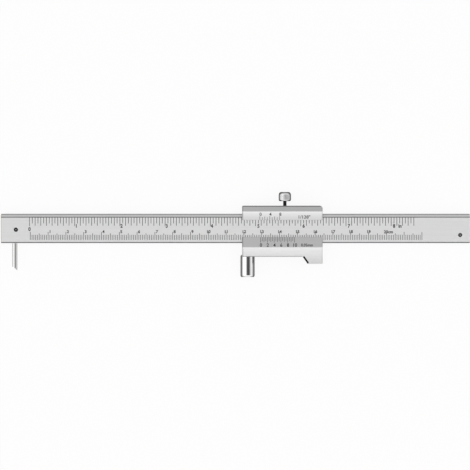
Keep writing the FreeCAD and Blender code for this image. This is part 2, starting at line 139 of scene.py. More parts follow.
@dataclass(frozen=True)
class Desk:
    """Lays out the nodes of one tree, for a shader, the world or a geometry.

    Attributes:
        tree: the tree that gets the nodes.
    """

    tree: bpy.types.NodeTree

    @classmethod
    def cleared(cls, owner: bpy.types.Material | bpy.types.World) -> "Desk":
        """Empties the tree of a material or a world.

        Args:
            owner: the material or world.

        Returns:
            The desk of its tree.
        """
        owner.use_nodes = True
        owner.node_tree.nodes.clear()
        return cls(owner.node_tree)

    def node(
        self,
        kind: str,
        settings: Mapping[str, Any] | None = None,
        inputs: Mapping[str | int, Any] | None = None,
        output: str | int = 0,
    ) -> Signal:
        """Adds a node.

        Args:
            kind: the node's type.
            settings: its properties, set first.
            inputs: a value, a signal or a list of signals for each socket.
            output: the socket to give back.

        Returns:
            The signal of that output, or of the first input if the node has no output.
        """
        made = self.tree.nodes.new(kind)
        for key, value in (settings or {}).items():
            setattr(made, key, value)
        for key, value in (inputs or {}).items():
            for each in value if isinstance(value, list) else (value,):
                if isinstance(each, Signal):
                    self.tree.links.new(each.socket, made.inputs[key])
                else:
                    made.inputs[key].default_value = each
        return Signal(self, made.outputs[output] if len(made.outputs) else made.inputs[0])

    def sum(self, operation: str, *terms: Signal | float) -> Signal:
        """Works one sum out of one, two or three terms."""
        return self.node("ShaderNodeMath", {"operation": operation}, dict(enumerate(terms)))

    def part(self, vector: Signal, axis: str) -> Signal:
        """Gives the X, Y or Z part of a vector."""
        return self.node("ShaderNodeSeparateXYZ", inputs={0: vector}, output=axis)

    def step(self, value: Signal, low: float, high: float, to_low: float = 0.0, to_high: float = 1.0) -> Signal:
        """Eases from one number to another as a value rises.

        Args:
            value: the value that is followed.
            low: where the change starts.
            high: where it is done.
            to_low: the result below low.
            to_high: the result above high.

        Returns:
            The eased number.
        """
        names = ("Value", "From Min", "From Max", "To Min", "To Max")
        if high < low:
            low, high, to_low, to_high = high, low, to_high, to_low
        return self.node(
            "ShaderNodeMapRange",
            {"interpolation_type": "SMOOTHSTEP"},
            dict(zip(names, (value, low, high, to_low, to_high))),
        )

    def band(self, value: Signal, low: float, high: float, soft: float) -> Signal:
        """Masks a band of values: 1 inside it, 0 outside, with soft edges."""
        return self.step(value, low - soft, low + soft) * self.step(value, high - soft, high + soft, 1.0, 0.0)

    def blend(self, factor: Signal | float, start: Any, end: Any, way: str = "MIX") -> Signal:
        """Blends two colours, or their signals: factor 0 gives the first one, 1 the second."""
        settings = {"data_type": "RGBA", "clamp_factor": True, "blend_type": way}
        return self.node("ShaderNodeMix", settings, {0: factor, 6: start, 7: end}, 2)

    def noise(self, where: Signal, stretch: tuple[float, float, float], detail: float = 2.0) -> Signal:
        """Reads smooth noise from Object coordinates.

        Args:
            where: the coordinates.
            stretch: how many of its blotches go into a millimetre along X, Y and Z.
            detail: its octaves.

        Returns:
            The noise, around 0.5.
        """
        scale = tuple(each / MM for each in stretch)
        mapped = self.node("ShaderNodeMapping", {"vector_type": "POINT"}, {"Vector": where, "Scale": scale})
        return self.node(
            "ShaderNodeTexNoise", {"noise_dimensions": "3D"}, {"Vector": mapped, "Scale": 1.0, "Detail": detail}
        )

    def relief(self, height: Signal, normal: Signal, strength: float) -> Signal:
        """Tilts a normal by a pattern that stands out by up to 0.01 mm."""
        inputs = {"Strength": strength, "Distance": 0.01 * MM, "Height": height, "Normal": normal}
        return self.node("ShaderNodeBump", inputs=inputs)


def grey(tone: float) -> tuple[float, float, float, float]:
    """Gives a neutral colour."""
    return (tone, tone, tone, 1.0)


class Grain(Enum):
    """The way in which a surface was ground or turned: how many marks go into a mm along X, Y and Z."""

    ALONG_X = (0.05, 6.0, 6.0)
    ROUND_Y = (0.6, 9.0, 0.6)
    EVEN = (3.0, 3.0, 3.0)


class Way(Enum):
    """The axis across which a dark line is measured."""

    ACROSS = "Y"
    ALONG = "X"


@dataclass(frozen=True)
class Rim:
    """A painted shade line along a broken edge or a border groove, between two places in mm from the rule's zero.

    Attributes:
        low: where it starts.
        high: where it ends.
        strength: how dark it is, from 0 to 1.
        way: the axis across which it is measured.
        soft: how soft its edges are.
    """

    low: float
    high: float
    strength: float = 0.93
    way: Way = Way.ACROSS
    soft: float = 0.06


@dataclass(frozen=True)
class Zone:
    """A belt of a face with a painted highlight where it is lighter and painted shade where it is darker, in mm across
    the beam from the rule's zero.

    Attributes:
        low: its lower border.
        high: its upper border.
        change: how much lighter it is, as a part of the tone; or where that starts to drift and is done, and
            what it is at both.
        soft: how soft its borders are.
    """

    low: float
    high: float
    change: float | tuple[float, float, float, float]
    soft: float = 0.1

    def lighter(self, height: Signal) -> Signal:
        """Gives the painted change of tone at a height across the beam, 0 outside the belt."""
        change = height.desk.step(height, *self.change) if isinstance(self.change, tuple) else self.change
        return change * height.desk.band(height, self.low, self.high, self.soft)


@dataclass(frozen=True)
class Finish:
    """A plain dull finish, and the base of all others.

    Attributes:
        name: the material's name.
        tone: how light it is, as linear grey.
    """

    name: str
    tone: float

    def build(self) -> bpy.types.Material:
        """Makes the material.

        Returns:
            The material, with its shader.
        """
        material = bpy.data.materials.new(self.name)
        desk = Desk.cleared(material)
        where = desk.node("ShaderNodeTexCoord", output="Object")
        desk.node("ShaderNodeOutputMaterial", inputs={"Surface": self.shader(where)})
        return material

    def shader(self, where: Signal) -> Signal:
        """Lays out the shader from Object coordinates."""
        return where.desk.node("ShaderNodeBsdfDiffuse", inputs={"Color": grey(self.tone)})


@dataclass(frozen=True)
class Steel(Finish):
    """Bare metal: its grain, with painted shade on its broken edges, along given lines and where it turns away.

    Attributes:
        roughness: 0 for a mirror.
        grain: the direction of its grinding marks.
        grain_depth: how strongly the marks change tone and roughness.
        edge: the radius in mm to which its edges are broken.
        edge_dark: how strongly the broken edges are marked: painted shade on bare metal, grey wear on black oxide.
        rim_tint: the grey to which it darkens at grazing sight.
        rims: painted shade lines on its faces.
        colour: its colour at tone 1.
        grazing_dark: how much painted shade darkens it where it turns away, as a round mirror looks darker there.
        grazing: how far it is turned away where that darkening starts and where it is full, from 0 to 1.
        broken: how alike the broken edge's normal and the face's are where an edge starts and where it is full.
        dark_tone: the grey of the painted shade on edges, lines and turned-away parts.
        spread: how much the fine and the broad marks change the tone, and the fine ones the roughness.
        coarse: how many broad marks there are for each fine one.
    """

    roughness: float
    grain: Grain = Grain.ALONG_X
    grain_depth: float = 0.5
    edge: float = 0.15
    edge_dark: float = 0.6
    rim_tint: float = 1.0
    rims: tuple[Rim, ...] = ()
    colour: tuple[float, float, float] = (1.0, 1.0, 1.0)
    grazing_dark: float = 0.0
    grazing: tuple[float, float] = (0.20, 0.50)
    broken: tuple[float, float] = (0.985, 0.80)
    dark_tone: float = 0.035
    spread: tuple[float, float, float] = (0.10, 0.16, 0.22)
    coarse: float = 0.18

    def marks(self, where: Signal) -> tuple[Signal, Signal]:
        """Draws the fine and the broad grinding marks, each around 0.5."""
        broad = tuple(each * self.coarse for each in self.grain.value)
        return where.desk.noise(where, self.grain.value, 3.0), where.desk.noise(where, broad, 4.0)

    def bevel(self, desk: Desk) -> Signal:
        """Gives the normal of the broken edges."""
        return desk.node("ShaderNodeBevel", {"samples": 6}, {"Radius": self.edge * MM})

    def dark(self, where: Signal, bevel: Signal) -> Signal:
        """Masks the painted shade of broken edges and given lines; on black oxide, the grey wear of its edges.

        Args:
            where: Object coordinates.
            bevel: the normal of the broken edges.

        Returns:
            The mask, 0 on open faces.
        """
        desk = where.desk
        flat = desk.node("ShaderNodeNewGeometry", output="Normal")
        alike = desk.node("ShaderNodeVectorMath", {"operation": "DOT_PRODUCT"}, {0: bevel, 1: flat}, "Value")
        mask = desk.step(alike, *self.broken) * self.edge_dark
        zero = {Way.ALONG: RULE_ZERO.x, Way.ACROSS: RULE_ZERO.y}
        for rim in self.rims:
            place = desk.part(where, rim.way.value) / MM - zero[rim.way]
            line = desk.band(place, rim.low, rim.high, rim.soft) * rim.strength
            mask = desk.sum("MAXIMUM", mask, line)
        return mask

    def tone_of(self, where: Signal, fine: Signal, broad: Signal) -> Signal:
        """Gives the tone of the open faces, which other finishes vary further."""
        fine_part, broad_part = (each * self.grain_depth for each in self.spread[:2])
        return self.tone * (1 + (fine - 0.5) * fine_part + (broad - 0.5) * broad_part)

    def shader(self, where: Signal) -> Signal:
        """Lays out the shader.

        Args:
            where: Object coordinates.

        Returns:
            A Principled shader, and what covers it.
        """
        desk = where.desk
        fine, broad = self.marks(where)
        bevel = self.bevel(desk)
        light = desk.blend(1.0, self.tone_of(where, fine, broad), (*self.colour, 1.0), "MULTIPLY")
        # Painted shade: broken edges, given lines and the parts that turn away are darkened towards a dark grey.
        dark = self.dark(where, bevel)
        if self.grazing_dark:
            dark = desk.sum("MAXIMUM", dark, self.turned_away(bevel) * self.grazing_dark)
        rough = self.roughness + (fine - 0.5) * (self.spread[2] * self.grain_depth)
        shader = desk.node(
            "ShaderNodeBsdfPrincipled",
            inputs={
                "Base Color": desk.blend(dark, light, grey(self.dark_tone)),
                "Metallic": 1.0,
                "Roughness": desk.sum("MAXIMUM", rough, 0.05),
                "Normal": desk.relief(fine, bevel, 0.25 * self.grain_depth),
                "Specular Tint": grey(self.rim_tint),
            },
        )
        return self.covered(where, shader)

    def turned_away(self, normal: Signal) -> Signal:
        """Masks where painted shade goes: what is turned away, from sight and from straight up alike.

        Args:
            normal: the normal of the rounded surface.

        Returns:
            The mask, 0 on what looks up or at the viewer.
        """
        desk = normal.desk
        facing = desk.node("ShaderNodeLayerWeight", inputs={"Blend": 0.5, "Normal": normal}, output="Facing")
        sloping = desk.step(1 - abs(desk.part(normal, "Z")), *self.grazing)
        return desk.sum("MINIMUM", desk.step(facing, *self.grazing), sloping)

    def covered(self, where: Signal, shader: Signal) -> Signal:
        """Gives the shader as it is, where other finishes cover some of it."""
        return shader


@dataclass(frozen=True)
class SliderSteel(Steel):
    """Ground steel of the slider, with painted highlights and shade in bands across it, and painted shade in dull black
    on the serrated face of its thumb rest.

    Attributes:
        zones: the painted light and shade of the lower flat, the upper lip, the lower lip, both lips' ridges and the
            bar above.
        foot_line: the painted shade line along the foot of the lower bar.
        foot_end: where that line starts to fade along X, and where it has.
        steep: how far up a face looks where it begins to count as a wall, and where it does fully.
        wall: where the painted black shade of walls starts and ends behind the thumb rest's line, and how softly.
        line: the same for the painted black shade on every face.
        ends: how far the black keeps from the line's upper and lower end, and how soft it ends.
        black: the darkest and the lightest grey of that painted shade.
    """

    zones: tuple[Zone, ...] = (
        Zone(-30.0, -2.1, (-12.0, -2.6, -0.07, 0.16), 0.2),
        Zone(12.5, 17.8, (13.0, 17.8, -0.15, 0.04)),
        Zone(-2.3, 3.4, -0.25),
        Zone(-3.1, -2.5, 0.12),
        Zone(17.3, 17.7, 0.10),
        Zone(17.9, 21.2, -0.19),
    )
    foot_line: Zone = Zone(-7.65, -7.2, -0.52, 0.05)
    foot_end: tuple[float, float] = (152.5, 153.2)
    steep: tuple[float, float] = (0.92, 0.80)
    wall: tuple[float, float, float] = (-0.6, 1.5, 0.05)
    line: tuple[float, float, float] = (-0.4, 1.0, 0.04)
    ends: tuple[float, float, float] = (0.15, 0.2, 0.05)
    black: tuple[float, float] = (0.01, 0.03)

    def covered(self, where: Signal, shader: Signal) -> Signal:
        """Covers the thumb rest's serrated face with painted shade, a dull black.

        Args:
            where: Object coordinates.
            shader: the bare steel.

        Returns:
            The shader of the whole slider.
        """
        desk = where.desk
        x = desk.part(where, "X") / MM - (RULE_ZERO.x + REST_TOP[0])
        y = desk.part(where, "Y") / MM - (RULE_ZERO.y + REST_TOP[1])
        run = Vector(REST_FOOT) - Vector(REST_TOP)
        length = run.length
        run.normalize()
        along = x * run.x + y * run.y
        across = x * -run.y + y * run.x
        level = desk.part(desk.node("ShaderNodeNewGeometry", output="Normal"), "Z")
        behind = desk.step(level, *self.steep) * desk.band(across, *self.wall)
        black = desk.sum("MAXIMUM", behind, desk.band(across, *self.line))
        dark, light = (grey(each) for each in self.black)
        dull = desk.blend(desk.noise(where, (1.5, 1.5, 1.5)), dark, light)
        before, after, soft = self.ends
        mask = black * desk.band(along, before, length - after, soft)
        # The painted shade: a dull black that mirrors nothing.
        inputs = {"Base Color": dull, "Roughness": 1.0, "Specular IOR Level": 0.0}
        face = desk.node("ShaderNodeBsdfPrincipled", inputs=inputs)
        return desk.node("ShaderNodeMixShader", inputs={0: mask, 1: shader, 2: face})

    def tone_of(self, where: Signal, fine: Signal, broad: Signal) -> Signal:
        """Gives the tone of the open faces, with painted light and shade in bands.

        Args:
            where: Object coordinates.
            fine: the fine grinding marks.
            broad: the broad ones.

        Returns:
            The tone, with painted light and shade in every band.
        """
        desk = where.desk
        height = desk.part(where, "Y") / MM - RULE_ZERO.y
        before_rest = desk.step(desk.part(where, "X") / MM - RULE_ZERO.x, *self.foot_end, 1.0, 0.0)
        # Painted highlights and shade across the slider, and a painted shade line along its foot.
        change = sum((zone.lighter(height) for zone in self.zones), 1.0)
        change = change + self.foot_line.lighter(height) * before_rest
        return super().tone_of(where, fine, broad) * change


@dataclass(frozen=True)
class BlackOxide(Steel):
    """Blackened steel: dark, a little glossy, with worn edges that show grey."""

    def shader(self, where: Signal) -> Signal:
        """Lays out the shader.

        Args:
            where: Object coordinates.

        Returns:
            A Principled shader.
        """
        desk = where.desk
        fine, broad = self.marks(where)
        bevel = self.bevel(desk)
        worn = self.dark(where, bevel) * broad
        return desk.node(
            "ShaderNodeBsdfPrincipled",
            inputs={
                "Base Color": desk.blend(worn, grey(self.tone), grey(self.tone * 5)),
                "Metallic": 0.1,
                "Roughness": self.roughness + (fine - 0.5) * 0.2,
                "Specular IOR Level": 0.25,
                "Normal": desk.relief(fine, bevel, 0.3),
            },
        )


@dataclass(frozen=True)
class EngravingInk(Finish):
    """The black filling of engraved lines and numbers, a little worn in places.

    Attributes:
        worn_tone: how light it is where it is worn.
        gloss: how strongly it mirrors.
    """

    name: str = "engraving_ink"
    tone: float = 0.012
    worn_tone: float = 0.05
    gloss: float = 0.2

    def shader(self, where: Signal) -> Signal:
        """Lays out the shader.

        Args:
            where: Object coordinates.

        Returns:
            A Principled shader.
        """
        desk = where.desk
        wear = desk.noise(where, (0.8, 0.8, 0.8), 3.0)
        return desk.node(
            "ShaderNodeBsdfPrincipled",
            inputs={
                "Base Color": desk.blend(desk.step(wear, 0.5, 0.75), grey(self.tone), grey(self.worn_tone)),
                "Roughness": 0.55 + (wear - 0.5) * 0.3,
                "Specular IOR Level": self.gloss,
            },
        )


@dataclass(frozen=True)
class LitPaper(Finish):
    """White paper that glows for whoever looks at it, and sheds no light on what lies on it.

    Attributes:
        glow: how much of what is seen is its own light.
    """

    name: str = "white_floor"
    tone: float = 0.93
    glow: float = 0.90

    def shader(self, where: Signal) -> Signal:
        """Lays out the shader.

        Args:
            where: Object coordinates.

        Returns:
            Dull paper for the light that falls on things, and a glow for rays from the camera or a mirror.
        """
        desk = where.desk
        path = desk.node("ShaderNodeLightPath", output="Is Camera Ray")
        seen = desk.sum("MAXIMUM", path, path.other("Is Glossy Ray"))
        seen = desk.sum("MAXIMUM", seen, path.other("Is Transmission Ray"))
        light = desk.node("ShaderNodeEmission", inputs={"Color": grey(1.0), "Strength": 1.0})
        return desk.node("ShaderNodeMixShader", inputs={0: seen * self.glow, 1: super().shader(where), 2: light})


class Finishes:
    """Every material of the tool, made once."""

    def __init__(self) -> None:
        """Makes the materials."""
        self.beam = Steel(
            "beam_ground_steel",
            0.80,
            0.42,
            edge=0.10,
            edge_dark=0.5,
            rim_tint=0.7,
            # Painted shade lines: near the lower edge, in the border groove, faintly above it, on the top edge's bevel
            # and at the left end.
            rims=(
                Rim(0.21, 0.66),
                Rim(14.40, 14.80, 0.88),
                Rim(14.80, 16.05, 0.13),
                Rim(16.05, 16.50, 0.70),
                Rim(-16.5, -16.2, 0.3, Way.ALONG),
            ),
        ).build()
        self.slider = SliderSteel(
            "slider_ground_steel",
            0.84,
            0.40,
            edge=0.16,
            edge_dark=0.55,
            rim_tint=0.4,
            # Painted shade lines at the slider's left and right ends and along its top edge.
            rims=(
                Rim(118.9, 119.6, 0.42, Way.ALONG),
                Rim(163.8, 164.3, 0.25, Way.ALONG),
                Rim(20.5, 21.2, 0.65),
            ),
        ).build()
        mirror = Steel("polished_steel", 0.88, 0.08, Grain.ROUND_Y, 0.35, 0.12, 0.5, 0.5)
        # Painted shade where the roller turns away.
        self.polished = replace(mirror, grazing_dark=0.86, grazing=(0.19, 0.46)).build()
        needle = Steel("polished_needle_steel", 0.88, 0.05, Grain.ROUND_Y, 0.25, 0.04, 0.4, 0.5)
        # Painted shade where the needle turns away.
        self.needle = replace(needle, grazing_dark=0.96, grazing=(0.26, 0.46)).build()
        satin = Steel("satin_knob_steel", 0.80, 0.25, Grain.ROUND_Y, 0.6, 0.12, 0.6, 0.2)
        # Painted shade where the knob and its knurl turn away.
        satin = replace(satin, grazing_dark=0.85, grazing=(0.14, 0.40))
        self.knob = satin.build()
        knurl = replace(satin, name="knurled_steel", roughness=0.16, grain_depth=0.4, edge=0.03, edge_dark=0.2)
        self.knurl = knurl.build()
        self.axle = Steel("turned_axle_steel", 0.62, 0.32, Grain.ROUND_Y, 0.8).build()
        self.bronze = Steel("rolled_spring_bronze", 0.75, 0.35, colour=(0.93, 0.64, 0.38)).build()
        self.brass = Steel("turned_pad_brass", 0.82, 0.30, Grain.ROUND_Y, 0.8, colour=(0.95, 0.76, 0.42)).build()
        self.black = BlackOxide("black_oxide_steel", 0.012, 0.38, Grain.EVEN, edge=0.08, edge_dark=0.7).build()
        self.thread = BlackOxide("blackened_thread_steel", 0.005, 0.5, Grain.EVEN, edge=0.03, edge_dark=0.2).build()
        self.ink = EngravingInk().build()
        # Painted shade: the dull black of the bars that fill the thumb rest's serrations.
        self.dull_black = EngravingInk("painted_serration_shade", 0.01, 0.03, 0.0).build()


class Axis(Enum):
    """The axis that a turned piece stands on."""

    Y = "y"
    Z = "z"


class Outline(Enum):
    """The outline of one ring of a turned piece."""

    ROUND = "round"
    HEXAGON = "hexagon"
    FLATTED = "flatted"


@dataclass(frozen=True)
class Ring:
    """One ring of a turned piece, in mm.

    Attributes:
        radius: its radius, or half a hexagon's width across flats.
        height: where it is along the axis.
        outline: its shape.
    """

    radius: float
    height: float
    outline: Outline = Outline.ROUND


@dataclass(frozen=True)
class Lathe:
    """Skins rings about an axis.

    Attributes:
        axis: the way the axis points.
        centre: a point on it, in mm in the row's frame.
        segments: how many sides a round has.
        flat: how far above the centre a flatted ring is cut off.
        support: how far from the end of a run its added ring is, in mm.
    """

    axis: Axis
    centre: Vector
    segments: int = 96
    flat: float = 0.8
    support: float = 0.06

    @classmethod
    def over(cls, node: str, axis: Axis, segments: int = 96) -> "tuple[Lathe, float, float]":
        """Sets up a lathe in the middle of a CAD node.

        Args:
            node: the node's name.
            axis: the way the axis points.
            segments: how many sides a round has.

        Returns:
            The lathe, and the node's lower and upper end along the axis in mm.
        """
        low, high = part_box(node)
        foot, top = (getattr(corner, axis.value) / MM for corner in (low, high))
        return cls(axis, (low + high) / 2 / MM, segments), foot, top

    def point(self, ring: Ring, turn: int) -> Vector:
        """Places one point of a ring.

        Args:
            ring: the ring.
            turn: the point's number round it.

        Returns:
            The point in metres.
        """
        angle = 2 * math.pi * turn / self.segments
        radius = ring.radius
        if ring.outline is Outline.HEXAGON:
            radius /= math.cos((angle + math.pi / 6) % (math.pi / 3) - math.pi / 6)
        across, up = radius * math.cos(angle), radius * math.sin(angle)
        if ring.outline is Outline.FLATTED:
            up = min(up, self.flat)
        if self.axis is Axis.Y:
            return Vector((self.centre.x + across, ring.height, self.centre.z + up)) * MM
        return Vector((self.centre.x + across, self.centre.y + up, ring.height)) * MM

    def supported(self, rings: Sequence[Ring]) -> Iterable[Ring]:
        """Adds rings close to both ends of each long run, so that smooth shading keeps the run straight.

        Args:
            rings: the rings that give the shape.

        Yields:
            The same rings, and the added ones between them.
        """
        yield rings[0]
        for low, high in zip(rings, rings[1:]):
            run = math.hypot(high.radius - low.radius, high.height - low.height)
            if run > 6 * self.support and low.outline is high.outline:
                for part in (self.support / run, 1 - self.support / run):
                    radius = low.radius + (high.radius - low.radius) * part
                    yield Ring(radius, low.height + (high.height - low.height) * part, low.outline)
            yield high

    def skin(self, rings: Sequence[Ring], closed: bool = False) -> bmesh.types.BMesh:
        """Builds the skin.

        Args:
            rings: the rings in order; one with no radius is a pole.
            closed: True if the last ring meets the first, as on a sleeve.

        Returns:
            The closed skin, its faces pointing outwards.
        """
        body = bmesh.new()
        rows = []
        for ring in self.supported(rings):
            count = self.segments if ring.radius else 1
            rows.append([body.verts.new(self.point(ring, turn)) for turn in range(count)])
        pairs = list(zip(rows, rows[1:])) + ([(rows[-1], rows[0])] if closed else [])
        for low, high in pairs:
            for turn in range(self.segments):
                after = (turn + 1) % self.segments
                corners = [low[turn % len(low)], low[after % len(low)], high[after % len(high)], high[turn % len(high)]]
                body.faces.new(list(dict.fromkeys(corners)))
        bmesh.ops.remove_doubles(body, verts=body.verts[:], dist=WELD)
        bmesh.ops.dissolve_degenerate(body, dist=WELD, edges=body.edges[:])
        bmesh.ops.recalc_face_normals(body, faces=body.faces[:])
        return body


@dataclass(frozen=True)
class Workshop:
    """Turns skins and trees into finished pieces of one body.

    Attributes:
        body: the body that the pieces ride on.
        slot: the name of a material slot; not used.
    """

    body: str
    slot: str

    @staticmethod
    def piece(name: str, mesh: bpy.types.Mesh, material: bpy.types.Material | None = None) -> bpy.types.Object:
        """Makes a piece from a mesh that is in its place.

        Args:
            name: the piece's name.
            mesh: its mesh.
            material: its material, if the mesh has none yet.

        Returns:
            The piece, at the origin.
        """
        mesh.name = name
        if material is not None:
            mesh.materials.clear()
            mesh.materials.append(material)
        made = bpy.data.objects.new(name, mesh)
        bpy.context.scene.collection.objects.link(made)
        return made

    def from_skin(
        self, name: str, skin: bmesh.types.BMesh, material: bpy.types.Material, *replaced: str, sharp: float = 28.0
    ) -> None:
        """Makes a smooth piece with sharp edges from a skin.

        Args:
            name: the piece's name.
            skin: its skin, which is freed.
            material: its material.
            replaced: the CAD nodes that it stands for.
            sharp: the angle in degrees past which an edge is sharp.
        """
        mesh = bpy.data.meshes.new(name)
        skin.to_mesh(mesh)
        skin.free()
        mesh.shade_smooth()
        mesh.set_sharp_from_angle(angle=math.radians(sharp))
        self.hand_over(self.piece(name, mesh, material), *replaced)

    def from_tree(self, name: str, tree: bpy.types.NodeTree, values: Mapping[str, Any], *replaced: str) -> None:
        """Runs a geometry tree once and keeps its plain mesh, with no modifier left.

        Args:
            name: the piece's name.
            tree: the geometry tree.
            values: what each named input gets.
            replaced: the CAD nodes that the piece stands for.
        """
        made = self.piece(name, bpy.data.meshes.new(name))
        modifier = made.modifiers.new("pattern", "NODES")
        modifier.node_group = tree
        for item in tree.interface.items_tree:
            if item.item_type == "SOCKET" and item.in_out == "INPUT" and item.name in values:
                modifier[item.identifier] = values[item.name]
        bpy.context.view_layer.update()
        graph = bpy.context.evaluated_depsgraph_get()
        mesh = bpy.data.meshes.new_from_object(made.evaluated_get(graph))
        made.modifiers.remove(modifier)
        made.data = mesh
        mesh.name = name
        self.hand_over(made, *replaced)

    def hand_over(self, piece: bpy.types.Object, *replaced: str) -> None:
        """Lets a piece ride, and reports it.

        Args:
            piece: the finished piece.
            replaced: the CAD nodes that it stands for.
        """
        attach(piece, self.body)
        if replaced:
            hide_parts(*replaced)
        log.info("%s rides on %s: %d faces", piece.name, self.body, len(piece.data.polygons))

    @staticmethod
    def dress(node: str, material: bpy.types.Material) -> None:
        """Gives a CAD node its material.

        Args:
            node: the node's name.
            material: its finish.
        """
        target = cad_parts[node]
        if not target.material_slots:
            target.data.materials.append(material)
        for place in target.material_slots:
            place.material = material
        log.info("%s wears %s", node, material.name)


@dataclass(frozen=True)
class Face:
    """A flat face that carries marks, and runs along X.

    Attributes:
        foot: height across the beam and level of a line on it, in mm from the rule's zero.
        lean: how far it leans about X, in radians.
    """

    foot: tuple[float, float]
    lean: float = 0.0

    def origin(self) -> Vector:
        """Gives the point of the face at the rule's zero, in metres."""
        return Vector((RULE_ZERO.x, RULE_ZERO.y + self.foot[0], self.foot[1])) * MM

    def along(self, height: float) -> float:
        """Turns a height seen from above into the way along the face, in mm."""
        return (height - self.foot[0]) / math.cos(self.lean)


class PatternTree:
    """A geometry tree under construction."""

    def __init__(self, name: str) -> None:
        """Starts an empty tree with a geometry input and output.

        Args:
            name: the tree's name.
        """
        self.tree = bpy.data.node_groups.new(name, "GeometryNodeTree")
        for way in ("INPUT", "OUTPUT"):
            self.tree.interface.new_socket(name="Geometry", in_out=way, socket_type="NodeSocketGeometry")
        self.desk = Desk(self.tree)
        self.source = self.tree.nodes.new("NodeGroupInput")

    def inputs(self, kind: str, *names: str) -> list[Signal]:
        """Adds named inputs.

        Args:
            kind: Float, Int, Vector or Material.
            names: their names.

        Returns:
            The signals that they give inside the tree.
        """
        for name in names:
            self.tree.interface.new_socket(name=name, in_out="INPUT", socket_type=f"NodeSocket{kind}")
        return [Signal(self.desk, self.source.outputs[name]) for name in names]

    def vector(self, x: Signal | float = 0.0, y: Signal | float = 0.0, z: Signal | float = 0.0) -> Signal:
        """Joins three numbers to a vector."""
        return self.desk.node("ShaderNodeCombineXYZ", inputs={0: x, 1: y, 2: z})

    def moved(self, shape: Signal, by: Signal, turn: Any = (0.0, 0.0, 0.0)) -> Signal:
        """Turns a shape about the zero, then moves it."""
        inputs = {"Geometry": shape, "Translation": by, "Rotation": turn}
        return self.desk.node("GeometryNodeTransform", inputs=inputs)

    def end(self, shape: Signal) -> bpy.types.NodeTree:
        """Closes the tree with Realize Instances and Set Material.

        Args:
            shape: the finished geometry.

        Returns:
            The tree, with an input for the material.
        """
        real = self.desk.node("GeometryNodeRealizeInstances", inputs={"Geometry": shape})
        (material,) = self.inputs("Material", "Material")
        done = self.desk.node("GeometryNodeSetMaterial", inputs={"Geometry": real, "Material": material})
        self.desk.node("NodeGroupOutput", inputs={"Geometry": done})
        return self.tree


def graduation_tree() -> bpy.types.NodeTree:
    """Builds the tree that lays a row of filled lines on a face.

    Returns:
        The tree, with inputs for the count, pitch, lengths, width and place.
    """
    pattern = PatternTree("graduation")
    desk = pattern.desk
    count, middle_every, long_every = pattern.inputs("Int", "Count", "Middle every", "Long every")
    pitch, side, width, depth, lean = pattern.inputs("Float", "Pitch", "Side", "Width", "Depth", "Lean")
    short, middle, long = pattern.inputs("Float", "Short", "Middle", "Long")
    start, origin = pattern.inputs("Vector", "Start", "Origin")
    points = desk.node(
        "GeometryNodeMeshLine",
        {"mode": "OFFSET"},
        {"Count": count, "Start Location": start, "Offset": pattern.vector(pitch)},
    )
    number = desk.node("GeometryNodeInputIndex")
    is_long = desk.sum("COMPARE", desk.sum("MODULO", number, long_every), 0.0, 0.1)
    is_middle = desk.sum("COMPARE", desk.sum("MODULO", number, middle_every), 0.0, 0.1) * (1 - is_long)
    length = short + (middle - short) * is_middle + (long - short) * is_long
    bar = desk.node("GeometryNodeMeshCube", inputs={"Size": (1.0, 1.0, 1.0)})
    hung = pattern.moved(bar, pattern.vector(0.0, side * 0.5, -0.5))
    lines = desk.node(
        "GeometryNodeInstanceOnPoints",
        inputs={"Points": points, "Instance": hung, "Scale": pattern.vector(width, length, depth)},
    )
    return pattern.end(pattern.moved(lines, origin, pattern.vector(lean)))


def knurl_tree() -> bpy.types.NodeTree:
    """Builds the tree that stands straight knurl ridges round a knob on the Y axis.

    Returns:
        The tree, with inputs for the count, radius, ridge size, band height and place.
    """
    pattern = PatternTree("knurl")
    desk = pattern.desk
    (count,) = pattern.inputs("Int", "Count")
    radius, ridge, height, flatness = pattern.inputs("Float", "Radius", "Ridge", "Height", "Flatness")
    (origin,) = pattern.inputs("Vector", "Origin")
    ring = desk.node("GeometryNodeMeshCircle", {"fill_type": "NONE"}, {"Vertices": count, "Radius": radius})
    sides = {"Vertices": 4, "Radius Top": ridge, "Radius Bottom": ridge, "Depth": height}
    tooth = desk.node("GeometryNodeMeshCone", {"fill_type": "NGON"}, sides)
    angle = desk.node("GeometryNodeInputIndex") * (2 * math.pi) / count
    ridges = desk.node(
        "GeometryNodeInstanceOnPoints",
        inputs={
            "Points": ring,
            "Instance": tooth,
            "Rotation": pattern.vector(0.0, 0.0, angle),
            "Scale": pattern.vector(flatness, 1.0, 1.0),
        },
    )
    return pattern.end(pattern.moved(ridges, origin, ALONG_Y))


def thread_tree() -> bpy.types.NodeTree:
    """Builds the tree that winds a screw thread round a core on the Y axis.

    Returns:
        The tree, with inputs for the core, crest, turns, length and place.
    """
    pattern = PatternTree("thread")
    desk = pattern.desk
    core, crest, turns, length = pattern.inputs("Float", "Core", "Crest", "Turns", "Length")
    (origin,) = pattern.inputs("Vector", "Origin")
    mean, rise = (core + crest) * 0.5, crest - core
    spiral = desk.node(
        "GeometryNodeCurveSpiral",
        inputs={"Resolution": 24, "Rotations": turns, "Start Radius": mean, "End Radius": mean, "Height": length},
    )
    flank = desk.node("GeometryNodeCurvePrimitiveCircle", {"mode": "RADIUS"}, {"Resolution": 4, "Radius": rise * 0.5})
    helix = desk.node("GeometryNodeCurveToMesh", inputs={"Curve": spiral, "Profile Curve": flank, "Fill Caps": True})
    sides = {"Vertices": 32, "Radius": core + rise * 0.2, "Depth": length}
    rod = desk.node("GeometryNodeMeshCylinder", {"fill_type": "NGON"}, sides)
    raised = pattern.moved(rod, pattern.vector(0.0, 0.0, length * 0.5))
    both = desk.node("GeometryNodeJoinGeometry", inputs={"Geometry": [helix, raised]})
    return pattern.end(pattern.moved(both, origin, ALONG_Y))


